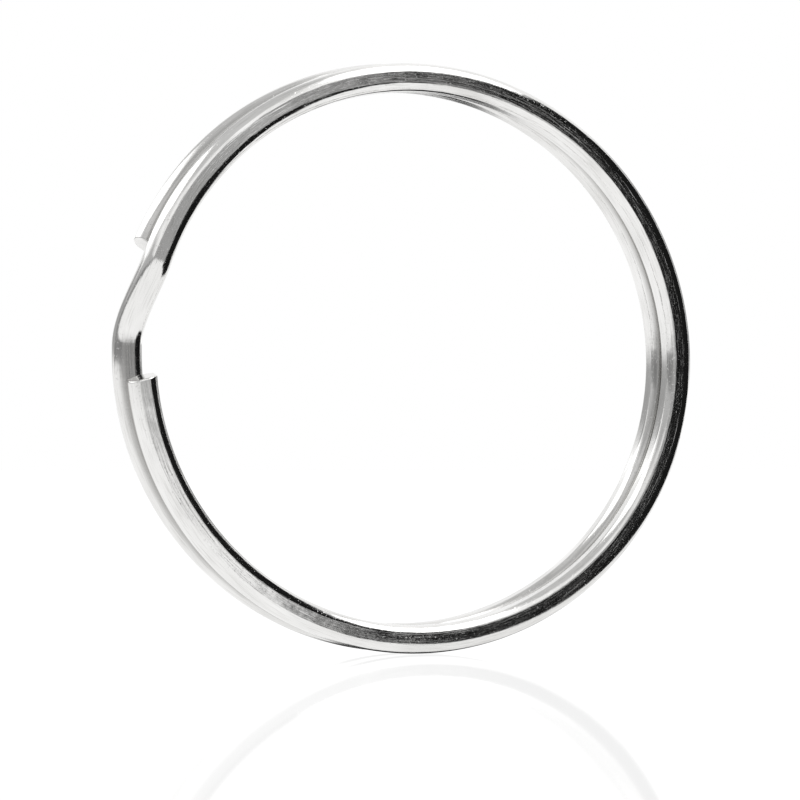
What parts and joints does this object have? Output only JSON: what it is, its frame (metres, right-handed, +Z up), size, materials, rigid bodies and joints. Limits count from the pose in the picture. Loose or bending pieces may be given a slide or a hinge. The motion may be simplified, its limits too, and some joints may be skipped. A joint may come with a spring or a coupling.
{
  "type": "split key ring",
  "caption": "Slim split key ring: one flattened plated wire wound into two turns, whose free ends spring apart to let a key slide round onto the ring.",
  "frame": {"origin": "on the surface the ring stands on, below the middle of the ring, midway between the two turns", "axes": "+Y along the ring's axis from the front turn to the rear turn, +Z up, +X to the right when the front turn is seen face on"},
  "size_m": [0.0304, 0.0026, 0.0302],
  "materials": {
    "nickel_plate": "bright nickel plate on spring steel, fine lengthwise drawing marks"
  },
  "bodies": {
    "crossover_bend": {"crossover_bend": "nickel_plate"},
    "front_free_end": {"front_free_end": "nickel_plate", "front_stretch_02": "nickel_plate", "front_stretch_03": "nickel_plate"},
    "front_length_2": {"front_stretch_04": "nickel_plate", "front_stretch_05": "nickel_plate", "front_stretch_06": "nickel_plate"},
    "front_length_3": {"front_stretch_07": "nickel_plate", "front_stretch_08": "nickel_plate", "front_stretch_09": "nickel_plate"},
    "front_length_4": {"front_stretch_10": "nickel_plate", "front_stretch_11": "nickel_plate", "front_stretch_12": "nickel_plate"},
    "rear_free_end": {"rear_free_end": "nickel_plate", "rear_stretch_02": "nickel_plate", "rear_stretch_03": "nickel_plate"},
    "rear_length_2": {"rear_stretch_04": "nickel_plate", "rear_stretch_05": "nickel_plate", "rear_stretch_06": "nickel_plate"},
    "rear_length_3": {"rear_stretch_07": "nickel_plate", "rear_stretch_08": "nickel_plate", "rear_stretch_09": "nickel_plate"},
    "rear_length_4": {"rear_stretch_10": "nickel_plate", "rear_stretch_11": "nickel_plate", "rear_stretch_12": "nickel_plate"}
  },
  "joints": [
    {"name": "front_flex_4", "type": "hinge", "parent": "crossover_bend", "child": "front_length_4", "pos_m": [-0.01323, -0.00067, 0.01977], "axis": [-0.4644, 0, -0.8856], "range_deg": [0, 0.281], "stiffness_Nm_per_rad": 0.0161},
    {"name": "front_flex_3", "type": "hinge", "parent": "front_length_4", "child": "front_length_3", "pos_m": [0.00362, -0.00067, 0.02888], "axis": [-0.7206, 0, 0.6934], "range_deg": [0, 2.27], "stiffness_Nm_per_rad": 0.0169},
    {"name": "front_end_lift", "type": "hinge", "parent": "front_length_3", "child": "front_length_2", "pos_m": [0.01439, -0.00067, 0.01304], "axis": [0.056, 0, 0.9984], "range_deg": [0, 2.99], "stiffness_Nm_per_rad": 0.016},
    {"name": "front_flex_1", "type": "hinge", "parent": "front_length_2", "child": "front_free_end", "pos_m": [-0.00028, -0.00067, 0.00072], "axis": [0.7694, 0, 0.6388], "range_deg": [0, 1.82], "stiffness_Nm_per_rad": 0.0177},
    {"name": "rear_flex_4", "type": "hinge", "parent": "crossover_bend", "child": "rear_length_4", "pos_m": [-0.01452, 0.00067, 0.01523], "axis": [-0.1361, 0, 0.9907], "range_deg": [0, 0.283], "stiffness_Nm_per_rad": 0.0159},
    {"name": "rear_flex_3", "type": "hinge", "parent": "rear_length_4", "child": "rear_length_3", "pos_m": [-0.0015, 0.00067, 0.00078], "axis": [-0.9012, 0, -0.4334], "range_deg": [0, 2.22], "stiffness_Nm_per_rad": 0.0168},
    {"name": "rear_end_lift", "type": "hinge", "parent": "rear_length_3", "child": "rear_length_2", "pos_m": [0.01401, 0.00067, 0.01252], "axis": [-0.2475, 0, -0.9689], "range_deg": [0, 3], "stiffness_Nm_per_rad": 0.0158},
    {"name": "rear_flex_1", "type": "hinge", "parent": "rear_length_2", "child": "rear_free_end", "pos_m": [0.00365, 0.00067, 0.02898], "axis": [0.5499, 0, -0.8352], "range_deg": [0, 1.84], "stiffness_Nm_per_rad": 0.0175}
  ],
  "couplings": [
    {"joint": "front_flex_1", "follows": "front_end_lift", "ratio": 0.6071},
    {"joint": "front_flex_3", "follows": "front_end_lift", "ratio": 0.7581},
    {"joint": "front_flex_4", "follows": "front_end_lift", "ratio": 0.0939},
    {"joint": "rear_flex_1", "follows": "rear_end_lift", "ratio": 0.6121},
    {"joint": "rear_flex_3", "follows": "rear_end_lift", "ratio": 0.7389},
    {"joint": "rear_flex_4", "follows": "rear_end_lift", "ratio": 0.0942}
  ]
}
